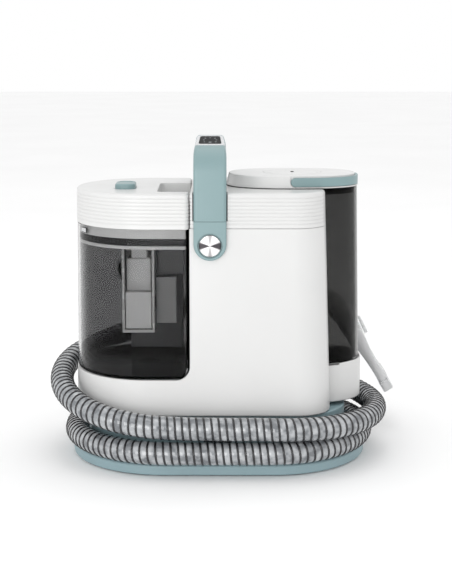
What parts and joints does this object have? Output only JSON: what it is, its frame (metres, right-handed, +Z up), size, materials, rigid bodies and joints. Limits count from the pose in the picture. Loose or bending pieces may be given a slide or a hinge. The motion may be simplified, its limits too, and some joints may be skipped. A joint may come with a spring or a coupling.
{
  "type": "spot extractor",
  "caption": "Portable spot extractor: lift-out dirty and clean tanks, arched carrying handle with a display, and a suction hose wound round the base with a clear hand nozzle.",
  "frame": {"origin": "middle of the base on the surface that the feet stand on", "axes": "+Z up, -Y towards the front where the display leans, +X towards the clean-water tank"},
  "size_m": [0.424, 0.2995, 0.3794],
  "materials": {
    "white_shell": "satin white moulding",
    "teal_shell": "satin pale teal moulding",
    "smoked_tank": "smoked clear plastic",
    "dark_smoked_tank": "dark smoked clear plastic",
    "clear_plastic": "frosted clear plastic",
    "light_grey": "satin light grey",
    "dark_grey": "satin dark grey",
    "rubber": "matt black",
    "hose": "clear grey corrugated tube with a black helix",
    "display": "black glass-like panel",
    "silver": "satin silver",
    "steel": "turned",
    "board": "green laminate"
  },
  "bodies": {
    "machine": {"base_plate": "teal_shell", "foot_1": "rubber", "foot_2": "rubber", "foot_3": "rubber", "foot_4": "rubber", "front_shell": "white_shell", "rear_shell": "white_shell", "top_cover": "white_shell", "tank_bay": "light_grey", "tank_cradle": "white_shell", "tank_deck": "dark_grey", "motor": "steel", "fan_housing": "dark_grey", "inlet_duct": "dark_grey", "air_duct": "dark_grey", "inlet_seal": "rubber", "outlet_seal": "rubber", "pump": "dark_grey", "valve_seat": "rubber", "control_board": "board", "exhaust_grille": "dark_grey", "cord_gland": "rubber", "tool_dock": "white_shell", "handle": "teal_shell", "handle_pad": "dark_grey", "display_frame": "silver", "display_glass": "display", "handle_foot_front": "teal_shell", "handle_foot_rear": "teal_shell", "handle_disc": "steel", "hose_elbow": "dark_grey", "hose": "hose", "tool_cuff": "rubber", "tool_grip": "white_shell", "nozzle": "clear_plastic", "nozzle_lip": "clear_plastic", "spray_tip": "clear_plastic"},
    "fan_rotor": {"fan": "light_grey"},
    "dirty_tank_set": {"dirty_tank": "smoked_tank", "data_plate": "silver", "separator": "dark_grey"},
    "dirty_lid": {"lid_cover": "white_shell", "lid_skirt": "light_grey", "lid_gasket": "rubber", "lid_floor": "light_grey", "float_cage": "clear_plastic", "intake_box": "dark_grey", "deflector": "light_grey", "button_spring": "steel"},
    "lid_button": {"lid_button": "teal_shell"},
    "tank_float": {"float": "light_grey"},
    "clean_tank_set": {"clean_tank": "dark_smoked_tank", "valve_body": "light_grey", "valve_spring": "steel"},
    "clean_lid": {"clean_lid": "white_shell", "clean_gasket": "rubber", "fill_cap": "white_shell"},
    "bail_handle": {"bail": "teal_shell"},
    "tank_valve": {"valve_poppet": "dark_grey"},
    "trigger": {"tool_trigger": "teal_shell"}
  },
  "joints": [
    {"name": "fan_spin", "type": "hinge", "parent": "machine", "child": "fan_rotor", "pos_m": [-0.084, 0, 0.08], "axis": [0, 0, 1], "continuous": true},
    {"name": "dirty_tank_lift", "type": "slide", "parent": "machine", "child": "dirty_tank_set", "axis": [0, 0, 1], "range_m": [0, 0.18]},
    {"name": "dirty_lid_lift", "type": "slide", "parent": "dirty_tank_set", "child": "dirty_lid", "axis": [0, 0, 1], "range_m": [0, 0.13]},
    {"name": "lid_button_press", "type": "slide", "parent": "dirty_lid", "child": "lid_button", "axis": [0, 0, 1], "range_m": [-0.003, 0], "stiffness_N_per_m": 400, "springref_m": 0.001, "deforming": ["button_spring"]},
    {"name": "float_rise", "type": "slide", "parent": "dirty_lid", "child": "tank_float", "axis": [0, 0, 1], "range_m": [0, 0.014]},
    {"name": "clean_tank_lift", "type": "slide", "parent": "machine", "child": "clean_tank_set", "axis": [0, 0, 1], "range_m": [0, 0.215]},
    {"name": "clean_lid_lift", "type": "slide", "parent": "clean_tank_set", "child": "clean_lid", "axis": [0, 0, 1], "range_m": [0, 0.05]},
    {"name": "bail_swing", "type": "hinge", "parent": "clean_lid", "child": "bail_handle", "pos_m": [0.087, 0.005, 0.3276], "axis": [0, -1, 0], "range_deg": [0, 90]},
    {"name": "valve_press", "type": "slide", "parent": "clean_tank_set", "child": "tank_valve", "axis": [0, 0, 1], "range_m": [0, 0.004], "stiffness_N_per_m": 150, "springref_m": -0.002, "deforming": ["valve_spring"]},
    {"name": "trigger_pull", "type": "hinge", "parent": "machine", "child": "trigger", "pos_m": [0.1, 0.122, 0.15], "axis": [0, 1, 0], "range_deg": [0, 4], "stiffness_Nm_per_rad": 0.5, "springref_deg": -1.72}
  ]
}
